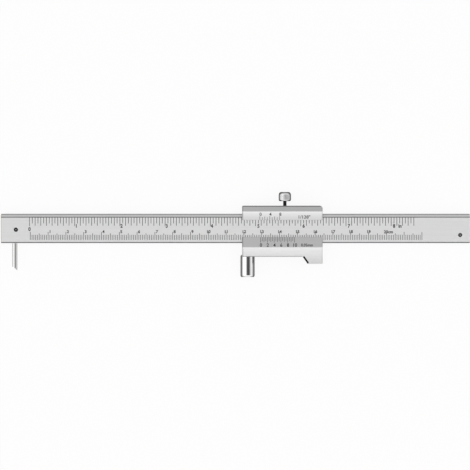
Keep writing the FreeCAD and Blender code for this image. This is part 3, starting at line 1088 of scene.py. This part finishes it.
def serration_tree() -> bpy.types.NodeTree:
    """Builds the tree that stands a row of leaning round bars along a slope.

    Returns:
        The tree, with inputs for the count, step, bar size, lean and place.
    """
    pattern = PatternTree("serration")
    desk = pattern.desk
    (count,) = pattern.inputs("Int", "Count")
    radius, height = pattern.inputs("Float", "Radius", "Height")
    step, lean, origin = pattern.inputs("Vector", "Step", "Lean", "Origin")
    points = desk.node(
        "GeometryNodeMeshLine", {"mode": "OFFSET"}, {"Count": count, "Start Location": origin, "Offset": step}
    )
    sides = {"Vertices": 16, "Radius": radius, "Depth": height}
    rod = desk.node("GeometryNodeMeshCylinder", {"fill_type": "NGON"}, sides)
    bars = desk.node("GeometryNodeInstanceOnPoints", inputs={"Points": points, "Instance": rod, "Rotation": lean})
    return pattern.end(bars)


@dataclass(frozen=True)
class Scale:
    """A row of engraved lines, in mm.

    Attributes:
        face: the face that carries it.
        start: where its first line is, along X from the rule's zero and across the beam.
        pitch: the distance between lines.
        count: how many lines there are.
        lengths: of the short, middle and long lines, as seen from above.
        every: after how many lines a middle and a long one comes.
        side: 1 if the lines rise from their start, -1 if they hang from it.
        width: how wide a line is.
        depth: how thick the filling is.
        proud: how far the filling stands above the face.
    """

    face: Face
    start: tuple[float, float]
    pitch: float
    count: int
    lengths: tuple[float, float, float]
    every: tuple[int, int]
    side: float
    width: float
    depth: float = 0.05
    proud: float = 0.004

    def values(self, material: bpy.types.Material) -> dict[str, Any]:
        """Gives what the graduation tree's inputs get.

        Args:
            material: the filling.

        Returns:
            A value for each named input.
        """
        stretch = MM / math.cos(self.face.lean)
        short, middle, long = (length * stretch for length in self.lengths)
        return {
            "Count": self.count,
            "Pitch": self.pitch * MM,
            "Side": self.side,
            "Short": short,
            "Middle": middle,
            "Long": long,
            "Middle every": self.every[0],
            "Long every": self.every[1],
            "Width": self.width * MM,
            "Depth": self.depth * MM,
            "Start": (self.start[0] * MM, self.face.along(self.start[1]) * MM, self.proud * MM),
            "Lean": self.face.lean,
            "Origin": tuple(self.face.origin()),
            "Material": material,
        }


@dataclass(frozen=True)
class Label:
    """A number or unit on a face, in mm.

    Attributes:
        text: what it says.
        x: its middle, along X from the rule's zero.
        foot: its lower edge, across the beam.
        height: how high a digit is, as seen from above.
        narrow: its width, as a part of the font's.
    """

    text: str
    x: float
    foot: float
    height: float
    narrow: float = 0.9


@dataclass(frozen=True)
class Engraver:
    """Fills the lines, numbers and unit marks that are cut into one body.

    Attributes:
        shop: the workshop of that body.
        material: the filling.
        bold: how much the strokes of letters are thickened, as a part of their height.
        half_depth: half the thickness of letters, in mm.
        sunk: how far their middle is below the face, in mm.
    """

    shop: Workshop
    material: bpy.types.Material
    bold: float = 0.035
    half_depth: float = 0.02
    sunk: float = 0.014

    def _letters(self, text: str, size: float, depth: float) -> bpy.types.Mesh:
        """Makes flat letters in the XY plane.

        Args:
            text: the letters.
            size: the font's size in metres.
            depth: half their thickness in metres.

        Returns:
            Their mesh.
        """
        curve = bpy.data.curves.new("letters", "FONT")
        curve.body = text
        curve.size = size
        curve.align_x = "CENTER"
        curve.extrude = depth
        curve.offset = self.bold * size * 0.5
        curve.resolution_u = 3
        made = bpy.data.objects.new("letters", curve)
        bpy.context.scene.collection.objects.link(made)
        bpy.context.view_layer.update()
        mesh = bpy.data.meshes.new_from_object(made.evaluated_get(bpy.context.evaluated_depsgraph_get()))
        bpy.data.objects.remove(made)
        bpy.data.curves.remove(curve)
        return mesh

    def lines(self, name: str, scale: Scale) -> None:
        """Makes one piece of a scale's lines."""
        self.shop.from_tree(name, graduation_tree(), scale.values(self.material))

    def numbers(self, name: str, face: Face, labels: Iterable[Label]) -> None:
        """Makes one piece of all the labels of a face.

        Args:
            name: the piece's name.
            face: the face that carries them.
            labels: the labels.
        """
        rise = max(vertex.co.y for vertex in self._letters("0", 1.0, 0.0).vertices)
        all_letters = bmesh.new()
        stand = Matrix.Translation(face.origin()) @ Matrix.Rotation(face.lean, 4, "X")
        for label in labels:
            size = label.height * MM / rise / math.cos(face.lean)
            mesh = self._letters(label.text, size, self.half_depth * MM)
            place = Vector((label.x * MM, face.along(label.foot) * MM, -self.sunk * MM))
            mesh.transform(stand @ Matrix.Translation(place) @ Matrix.Diagonal((label.narrow, 1.0, 1.0, 1.0)))
            all_letters.from_mesh(mesh)
            bpy.data.meshes.remove(mesh)
        bmesh.ops.remove_doubles(all_letters, verts=all_letters.verts[:], dist=WELD)
        mesh = bpy.data.meshes.new(name)
        all_letters.to_mesh(mesh)
        all_letters.free()
        self.shop.hand_over(self.shop.piece(name, mesh, self.material))


@dataclass
class SetScrew:
    """A set screw in the beam's face, with a six-sided socket; all sizes in mm.

    Attributes:
        finishes: the materials.
        node: its CAD node.
        radius: its radius.
        flats: half the width across the socket's flats.
        chamfer: how far its foot is broken.
        rounding: how far its upper rim is rounded.
        lip: how far the socket's rim is broken, and how far down the middle of the round lies.
        depth: how deep the socket's walls reach.
        floor: how deep the middle of its floor is.
        worn_radius: the radius of the socket's bright bare-steel floor, a painted highlight.
        worn_depths: how deep the lower and the upper rim and the crown of that bright floor are.
    """

    finishes: Finishes
    node: str
    radius: float = 1.15
    flats: float = 0.65
    chamfer: float = 0.12
    rounding: float = 0.14
    lip: float = 0.05
    depth: float = 0.6
    floor: float = 0.72
    worn_radius: float = 0.34
    worn_depths: tuple[float, float, float] = (0.7, 0.55, 0.53)

    def build(self) -> None:
        """Turns the screw in the place of its CAD node, and the bright floor of its socket as a painted highlight."""
        shop = Workshop("beam", "black_steel")
        lathe, foot, top = Lathe.over(self.node, Axis.Z)
        rings = (
            Ring(0.0, foot),
            Ring(self.radius - self.chamfer, foot),
            Ring(self.radius, foot + self.chamfer),
            Ring(self.radius, top - self.rounding),
            Ring(self.radius - self.lip, top - self.lip),
            Ring(self.radius - self.rounding, top),
            Ring(self.flats + self.lip, top, Outline.HEXAGON),
            Ring(self.flats, top - self.lip, Outline.HEXAGON),
            Ring(self.flats, top - self.depth, Outline.HEXAGON),
            Ring(0.0, top - self.floor),
        )
        shop.from_skin(f"{self.node}_skin", lathe.skin(rings), self.finishes.black, self.node)
        # A painted highlight: a bright bare-steel floor in the black socket.
        lower, upper, crown = (top - depth for depth in self.worn_depths)
        worn = (
            Ring(0.0, top - self.floor),
            Ring(self.worn_radius, lower),
            Ring(self.worn_radius, upper),
            Ring(0.0, crown),
        )
        skin = replace(lathe, segments=24).skin(worn)
        shop.from_skin(f"{self.node}_socket_floor", skin, self.finishes.axle)


@dataclass
class GraduatedBeam:
    """The beam with its two scales, and the screws let into its face.

    Attributes:
        finishes: the materials.
        face_level: height of the graduated face above the floor, in mm.
        inch_zero: where the inch scale starts, from the rule's zero.
        millimetres: how many millimetres are marked.
        sixteenths: how many sixteenths of an inch are marked.
        line_feet: where the millimetre lines stand and the inch lines hang, across the beam.
        bold: how much the strokes of numbers are thickened.
    """

    finishes: Finishes
    face_level: float = 6.5
    inch_zero: float = -0.45
    millimetres: int = 220
    sixteenths: int = 136
    line_feet: tuple[float, float] = (1.85, 14.45)
    bold: float = 0.07

    def build(self) -> None:
        """Makes every piece of the beam."""
        shop = Workshop("beam", "black_steel")
        shop.dress("beam", self.finishes.beam)
        face = Face((0.0, self.face_level))
        engraver = Engraver(shop, self.finishes.ink, self.bold)
        low, high = self.line_feet
        lower = Scale(face, (0.0, low), 1.0, self.millimetres + 1, (2.85, 3.65, 4.45), (5, 10), 1.0, 0.28)
        inches = (self.inch_zero, high)
        upper = Scale(face, inches, INCH / 16, self.sixteenths + 1, (3.3, 4.6, 4.8), (2, 16), -1.0, 0.3)
        engraver.lines("millimetre_lines", lower)
        engraver.lines("inch_lines", upper)
        engraver.numbers("beam_numbers", face, self._labels())
        for node in ("needle_clamp_screw", "end_stop_screw"):
            SetScrew(self.finishes, node).build()

    def _labels(self) -> Iterable[Label]:
        """Lists the numbers and unit marks of both scales.

        Yields:
            Each label, the lower scale's first.
        """
        yield Label("0", self.inch_zero, 6.95, 2.1)
        for number in range(1, 20):
            aside = 1.1 if number < 10 else 0.05
            yield Label(str(number), 10 * number + aside, 5.7, 1.7, 1.0)
        yield Label("20cm", 201.2, 5.6, 1.7, 1.0)
        for number in range(1, 9):
            aside = 0.9 if number < 5 else 1.6
            yield Label(str(number), self.inch_zero + INCH * number + aside, 8.75, 2.05)
        yield Label("in", 207.7, 8.75, 2.05)


@dataclass
class ScribingNeedle:
    """The round needle with its flat and its slanted point.

    Attributes:
        finishes: the materials.
        radius: the needle's radius in mm.
        slant: how steeply the point rises to the left.
        side_slant: how steeply it rises towards the front and the back.
        flat_length: length of the flat under the clamp screw.
        stock: how much is left below the tip for grinding.
        chamfer: how far its upper end is broken.
    """

    finishes: Finishes
    radius: float = 1.3
    slant: float = 2.15 / 2.6
    side_slant: float = 1.5 / 1.3
    flat_length: float = 8.0
    stock: float = 1.0
    chamfer: float = 0.2

    def build(self) -> None:
        """Makes the needle."""
        lathe, tip, top = Lathe.over("scriber_needle", Axis.Y)
        rings = (
            Ring(0.0, tip - self.stock),
            Ring(self.radius, tip - self.stock),
            Ring(self.radius, top - self.flat_length),
            Ring(self.radius, top - self.flat_length, Outline.FLATTED),
            Ring(self.radius, top - self.chamfer, Outline.FLATTED),
            Ring(self.radius - self.chamfer, top, Outline.FLATTED),
            Ring(0.0, top),
        )
        skin = lathe.skin(rings)
        point = Vector((lathe.centre.x + self.radius, tip, lathe.centre.z)) * MM
        for normal in ((-self.slant, -1.0, 0.0), (0.0, -1.0, self.side_slant), (0.0, -1.0, -self.side_slant)):
            self._grind(skin, point, Vector(normal))
        shop = Workshop("needle", "needle_steel")
        shop.from_skin("scriber_needle_skin", skin, self.finishes.needle, "scriber_needle", sharp=20.0)

    @staticmethod
    def _grind(skin: bmesh.types.BMesh, point: Vector, normal: Vector) -> None:
        """Grinds one flat facet.

        Args:
            skin: the needle's skin.
            point: a point on the facet, in metres.
            normal: the way the facet looks.
        """
        cut = bmesh.ops.bisect_plane(
            skin,
            geom=skin.verts[:] + skin.edges[:] + skin.faces[:],
            plane_co=point,
            plane_no=normal,
            clear_outer=True,
        )
        edges = [each for each in cut["geom_cut"] if isinstance(each, bmesh.types.BMEdge)]
        bmesh.ops.edgenet_fill(skin, edges=edges)
        bmesh.ops.recalc_face_normals(skin, faces=skin.faces[:])


@dataclass
class VernierSlider:
    """The sliding head with its two verniers, its gib and the gib's screws.

    Attributes:
        finishes: the materials.
        lower_edge: height of the lower lip's edge across the beam, in mm from the rule's zero.
        upper_edge: height of the upper lip's edge.
        edge_level: how far both edges are above the floor.
        lower_lean: how the lower lip leans, in radians.
        upper_lean: how the upper lip leans.
        reading: where the fine vernier's zero stands.
        inch_shift: where the inch vernier's zero stands from there.
        serrations: how many there are on the thumb rest's face.
        rest_lean: how far that face leans back over the slider's thickness.
        thickness: the slider's thickness.
        bar_radius: of the black bars of painted shade in the serrations.
        bar_inset: how far their middle is behind the face.
        bar_length: how long they are.
        bar_foot: how far above the floor they start.
    """

    finishes: Finishes
    lower_edge: float = 3.37
    upper_edge: float = 13.0
    edge_level: float = 6.9
    lower_lean: float = -math.atan2(2.1, 5.77)
    upper_lean: float = math.atan2(2.1, 4.8)
    reading: float = 129.4
    inch_shift: float = -0.45
    serrations: int = 5
    rest_lean: float = 0.75
    thickness: float = 9.0
    bar_radius: float = 0.4
    bar_inset: float = 0.3
    bar_length: float = 8.9
    bar_foot: float = 0.02

    def build(self) -> None:
        """Makes every piece of the slider."""
        shop = Workshop("slider", "black_steel")
        shop.dress("slider", self.finishes.slider)
        shop.dress("gib_spring", self.finishes.bronze)
        shop.dress("gib_screw_left", self.finishes.black)
        shop.dress("gib_screw_right", self.finishes.black)
        engraver = Engraver(shop, self.finishes.ink)
        self._fine_vernier(engraver, Face((self.lower_edge, self.edge_level), self.lower_lean))
        self._inch_vernier(engraver, Face((self.upper_edge, self.edge_level), self.upper_lean))
        self._serrations()

    def _fine_vernier(self, engraver: Engraver, face: Face) -> None:
        """Fills the lines and numbers of the millimetre vernier.

        Args:
            engraver: the slider's engraver.
            face: the lower lip.
        """
        step = 0.95
        scale = Scale(face, (self.reading, self.lower_edge), step, 21, (2.1, 2.6, 3.0), (2, 4), -1.0, 0.2)
        engraver.lines("fine_vernier_lines", scale)
        labels = [Label(str(2 * each), self.reading + 4 * step * each + 0.2, -2.0, 1.95) for each in range(6)]
        labels.append(Label("0.05mm", 155.5, -1.85, 1.65, 0.84))
        engraver.numbers("fine_vernier_numbers", face, labels)

    def _inch_vernier(self, engraver: Engraver, face: Face) -> None:
        """Fills the lines and numbers of the inch vernier.

        Args:
            engraver: the slider's engraver.
            face: the upper lip.
        """
        step = INCH / 16 * 7 / 8
        start = self.reading + self.inch_shift
        scale = Scale(face, (start, self.upper_edge), step, 9, (1.55, 2.0, 2.25), (2, 4), 1.0, 0.2)
        engraver.lines("inch_vernier_lines", scale)
        labels = [Label(str(4 * each), start + 4 * step * each + 0.4, 15.4, 1.8) for each in range(3)]
        labels.append(Label('1/128"', 153.8, 13.9, 1.75, 1.0))
        engraver.numbers("inch_vernier_numbers", face, labels)

    def _serrations(self) -> None:
        """Lays black bars into the grooves of the thumb rest's face, as painted shade."""
        top = Vector((*REST_TOP, 0.0))
        step = (Vector((*REST_FOOT, 0.0)) - top) / self.serrations
        along = step.normalized()
        inward = Vector((-along.y, along.x, 0.0))
        middle = RULE_ZERO + top + step / 2 + inward * (self.rest_lean / 2 + self.bar_inset)
        middle.z = self.bar_length / 2 + self.bar_foot
        lean = Matrix.Rotation(-math.atan2(self.rest_lean, self.thickness), 3, along).to_euler()
        values = {
            "Count": self.serrations,
            "Step": tuple(step * MM),
            "Radius": self.bar_radius * MM,
            "Height": self.bar_length * MM,
            "Lean": tuple(lean),
            "Origin": tuple(middle * MM),
            "Material": self.finishes.dull_black,
        }
        # Painted shade: black bars where the serrations lie in shadow.
        Workshop("slider", "slider_steel").from_tree("thumb_rest_serration_shade_bars", serration_tree(), values)


@dataclass
class LockScrew:
    """The knurled knob, its threaded stud and the brass pad at the stud's tip.

    Attributes:
        finishes: the materials.
        core: the knob's radius inside the knurl, in mm.
        crest: its radius over the knurl.
        foot_round: the radius of its rounded foot.
        crown: the radius of its rounded top.
        steps: how many steps a round has.
        ridges: how many ridges the knurl has.
        overlap: how wide a ridge is, as a part of its share of the round.
        pitch: the stud's thread pitch.
        thread_core: the radius at the bottom of its thread.
        thread_crest: the radius over its thread.
    """

    finishes: Finishes
    core: float = 3.38
    crest: float = 3.45
    foot_round: float = 0.7
    crown: float = 1.4
    steps: int = 8
    ridges: int = 48
    overlap: float = 1.2
    pitch: float = 0.4
    thread_core: float = 0.90
    thread_crest: float = 1.03

    def build(self) -> None:
        """Makes the knob and the stud, and dresses the pad."""
        Workshop.dress("lock_pad", self.finishes.brass)
        self._knob()
        self._stud()

    def _knob(self) -> None:
        """Turns the knob and stands its knurl ridges round it."""
        shop = Workshop("lock_screw", "knob_steel")
        lathe, foot, top = Lathe.over("lock_knob", Axis.Y)
        band_low, band_high = foot + self.foot_round, top - self.crown
        rings = [Ring(0.0, foot)]
        rings += self._rounded(band_low, -self.foot_round)
        rings += reversed(self._rounded(band_high, self.crown))
        rings.append(Ring(0.0, top))
        shop.from_skin("lock_knob_skin", lathe.skin(rings), self.finishes.knob, "lock_knob")
        half_width = self.overlap * math.pi * self.core / self.ridges
        values = {
            "Count": self.ridges,
            "Radius": self.core * MM,
            "Ridge": half_width * MM,
            "Flatness": (self.crest - self.core) / half_width,
            "Height": (band_high - band_low) * MM,
            "Origin": (lathe.centre.x * MM, band_low * MM, lathe.centre.z * MM),
            "Material": self.finishes.knurl,
        }
        shop.from_tree("lock_knob_knurl", knurl_tree(), values)

    def _rounded(self, start: float, radius: float) -> list[Ring]:
        """Rounds an end of the knob over.

        Args:
            start: where the round starts along the axis.
            radius: the round's radius, negative for the foot.

        Returns:
            Its rings, from the end's flat to the side.
        """
        rings = []
        for each in range(self.steps, -1, -1):
            angle = each * math.pi / 2 / self.steps
            rings.append(Ring(self.core - abs(radius) * (1 - math.cos(angle)), start + radius * math.sin(angle)))
        return rings

    def _stud(self) -> None:
        """Winds the stud's thread."""
        lathe, foot, top = Lathe.over("lock_stud", Axis.Y)
        values = {
            "Core": self.thread_core * MM,
            "Crest": self.thread_crest * MM,
            "Turns": (top - foot) / self.pitch,
            "Length": (top - foot) * MM,
            "Origin": (lathe.centre.x * MM, foot * MM, lathe.centre.z * MM),
            "Material": self.finishes.thread,
        }
        Workshop("lock_screw", "black_steel").from_tree("lock_stud_thread", thread_tree(), values, "lock_stud")


@dataclass
class GuideRoller:
    """The polished guide roller and the axle that it turns on.

    Attributes:
        finishes: the materials.
        radius: the roller's radius in mm.
        bore: the radius of its bore.
        counterbore: the radius round the axle's head.
        counterbore_depth: how deep the head's seat is.
        chamfer: how far its ends are broken.
        ease: how far the chamfer's corners are rounded.
        segments: how many sides its round has.
    """

    finishes: Finishes
    radius: float = 4.0
    bore: float = 2.05
    counterbore: float = 3.05
    counterbore_depth: float = 1.65
    chamfer: float = 0.8
    ease: float = 0.12
    segments: int = 128

    def build(self) -> None:
        """Makes the roller, and dresses the axle."""
        shop = Workshop("roller", "roller_steel")
        shop.dress("roller_axle", self.finishes.axle)
        lathe, foot, top = Lathe.over("guide_roller", Axis.Y, self.segments)
        rings = (
            Ring(self.bore, top),
            Ring(self.radius - self.chamfer, top),
            Ring(self.radius - self.ease / 2, top - self.chamfer + self.ease),
            Ring(self.radius, top - self.chamfer - self.ease / 2),
            Ring(self.radius, foot + self.chamfer + self.ease),
            Ring(self.radius - self.ease / 3, foot + self.chamfer - self.ease),
            Ring(self.radius - self.chamfer / 2, foot),
            Ring(self.counterbore, foot),
            Ring(self.counterbore, foot + self.counterbore_depth),
            Ring(self.bore, foot + self.counterbore_depth),
        )
        skin = lathe.skin(rings, closed=True)
        shop.from_skin("guide_roller_skin", skin, self.finishes.polished, "guide_roller")


@dataclass
class Studio:
    """The pale floor, the soft light and the camera, which looks straight down.

    Attributes:
        view_middle: where the camera looks, in mm in the row's frame.
        view_width: what it takes in, in mm.
        view_height: how high it hangs, in metres.
        view_depth: how far it sees, in metres.
        floor_half: half the floor's width, in metres.
        light: the brightness of the sky.
        seen_light: the brightness of the sky where the camera sees it.
        hood_middle: where the middle of the camera's dark patch is along X, as a direction.
        hood_reach: how far the patch reaches to the right, to the left and to either side across.
        shades: the sky's dimmer parts: what each follows, where it starts, where it is full and what it takes of
            the light. They are beyond the tool's lower edge, beyond its upper edge, near the floor, the patch
            and a rim round it.
    """

    view_middle: tuple[float, float] = (-0.25, -0.27)
    view_width: float = 264.04
    view_height: float = 0.6
    view_depth: float = 3.0
    floor_half: float = 2.0
    light: float = 1.36
    seen_light: float = 0.95
    hood_middle: float = 0.12
    hood_reach: tuple[float, float, float] = (0.80, 0.55, 0.15)
    shades: tuple[tuple[str, float, float, float], ...] = (
        ("y", -0.25, -0.7, 0.34),
        ("y", 0.1, 0.58, 0.52),
        ("z", 0.5, 0.12, 0.28),
        ("away", 1.0, 0.05, 0.93),
        ("away", 2.6, 0.8, 0.25),
    )

    def build(self) -> None:
        """Makes the camera, the floor and the light."""
        self._camera()
        self._floor()
        self._sky()
        bpy.context.scene.view_settings.view_transform = "Standard"

    def _camera(self) -> None:
        """Places the camera."""
        data = bpy.data.cameras.new("camera")
        data.type = "ORTHO"
        data.ortho_scale = self.view_width * MM
        data.clip_end = self.view_depth
        camera = bpy.data.objects.new("camera", data)
        camera.location = (self.view_middle[0] * MM, self.view_middle[1] * MM, self.view_height)
        bpy.context.scene.collection.objects.link(camera)
        bpy.context.scene.camera = camera

    def _floor(self) -> None:
        """Lays the white floor."""
        skin = bmesh.new()
        bmesh.ops.create_grid(skin, x_segments=1, y_segments=1, size=self.floor_half)
        mesh = bpy.data.meshes.new("floor")
        skin.to_mesh(mesh)
        skin.free()
        Workshop.piece("floor", mesh, LitPaper().build())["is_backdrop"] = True

    def _sky(self) -> None:
        """Hangs a soft bright sky with the dark patch of the camera above, dimmer towards the tool's top edge."""
        world = bpy.data.worlds.new("soft_sky")
        bpy.context.scene.world = world
        desk = Desk.cleared(world)
        towards = desk.node("ShaderNodeTexCoord", output="Generated")
        x, y, z = (desk.part(towards, axis) for axis in "XYZ")
        right, left, across = self.hood_reach
        aside = desk.sum("MAXIMUM", (x - self.hood_middle) / right, (x - self.hood_middle) / -left)
        measures = {"y": y, "z": z, "away": aside * aside + (y / across) * (y / across)}
        level = self.light
        for measure, start, full, strength in self.shades:
            level = level * (1 - desk.step(measures[measure], start, full, 0.0, strength))
        plain = desk.node("ShaderNodeLightPath", output="Is Camera Ray")
        glow = level * (1 - plain) + plain * self.seen_light
        sky = desk.node("ShaderNodeBackground", inputs={"Color": grey(1.0), "Strength": glow})
        desk.node("ShaderNodeOutputWorld", inputs={"Surface": sky})


def corners(box: tuple[Vector, Vector]) -> list[list[float]]:
    """Gives a box's two corners as plain lists."""
    return [list(corner) for corner in box]


def main() -> None:
    """Builds the studio and every piece of the tool."""
    logging.basicConfig(level=logging.INFO, format="%(name)s: %(message)s")
    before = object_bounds()
    Studio().build()
    finishes = Finishes()
    for assembly in (
        GraduatedBeam(finishes),
        ScribingNeedle(finishes),
        VernierSlider(finishes),
        LockScrew(finishes),
        GuideRoller(finishes),
    ):
        assembly.build()
        log.info("%s is done", type(assembly).__name__)
    {"cad": corners(before), "visual": corners(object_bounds())}


if __name__ == "__main__":
    main()
